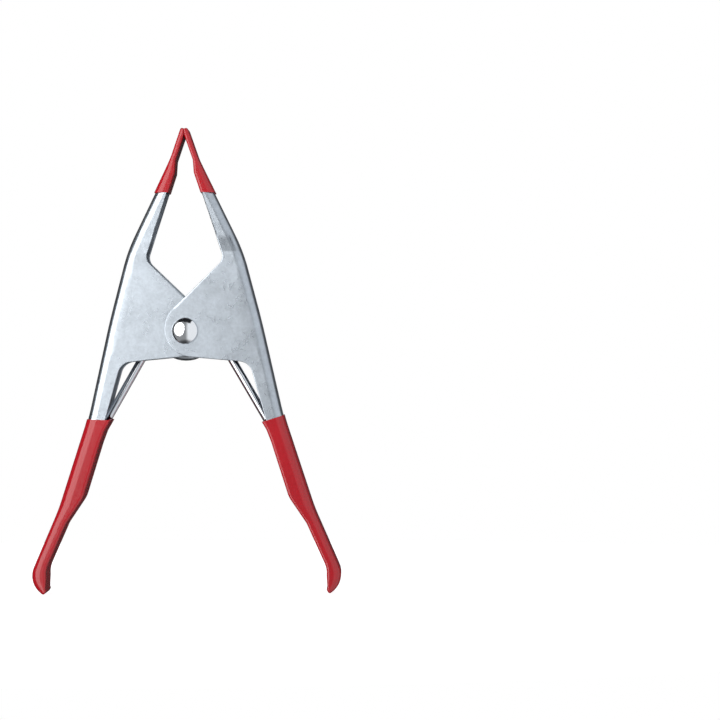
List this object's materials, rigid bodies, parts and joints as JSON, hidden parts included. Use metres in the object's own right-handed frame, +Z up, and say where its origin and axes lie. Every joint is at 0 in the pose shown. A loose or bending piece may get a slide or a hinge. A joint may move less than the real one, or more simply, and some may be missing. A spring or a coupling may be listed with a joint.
{
  "type": "spring clamp",
  "caption": "A-frame hand spring clamp: crossed sheet steel channel jaws on a domed rivet, torsion spring in the middle, vinyl dipped tips and handles.",
  "frame": {"origin": "on the floor under the middle of the clamp, which stands on its handle ends", "axes": "+X across the clamp towards the outer jaw, +Y from the front (the outer ear's domed rivet head) to the back, +Z up from the handle ends to the tips"},
  "size_m": [0.0994, 0.0248, 0.15],
  "materials": {
    "plated_steel": "bright zinc plate, satin",
    "polished_rivet": "polished",
    "spring_wire": "bright drawn wire",
    "red_vinyl": "satin gloss vinyl"
  },
  "bodies": {
    "outer": {"outer_jaw": "plated_steel", "pivot_rivet": "polished_rivet", "torsion_spring": "spring_wire", "outer_tip_sleeve": "red_vinyl", "outer_handle_sleeve": "red_vinyl"},
    "inner": {"inner_jaw": "plated_steel", "inner_tip_sleeve": "red_vinyl", "inner_handle_sleeve": "red_vinyl"}
  },
  "joints": [
    {"name": "jaw_hinge", "type": "hinge", "parent": "outer", "child": "inner", "pos_m": [0, 0, 0.0847], "axis": [0, -1, 0], "range_deg": [0, 45], "stiffness_Nm_per_rad": 1.9, "springref_deg": -60.16, "deforming": ["torsion_spring"]}
  ]
}
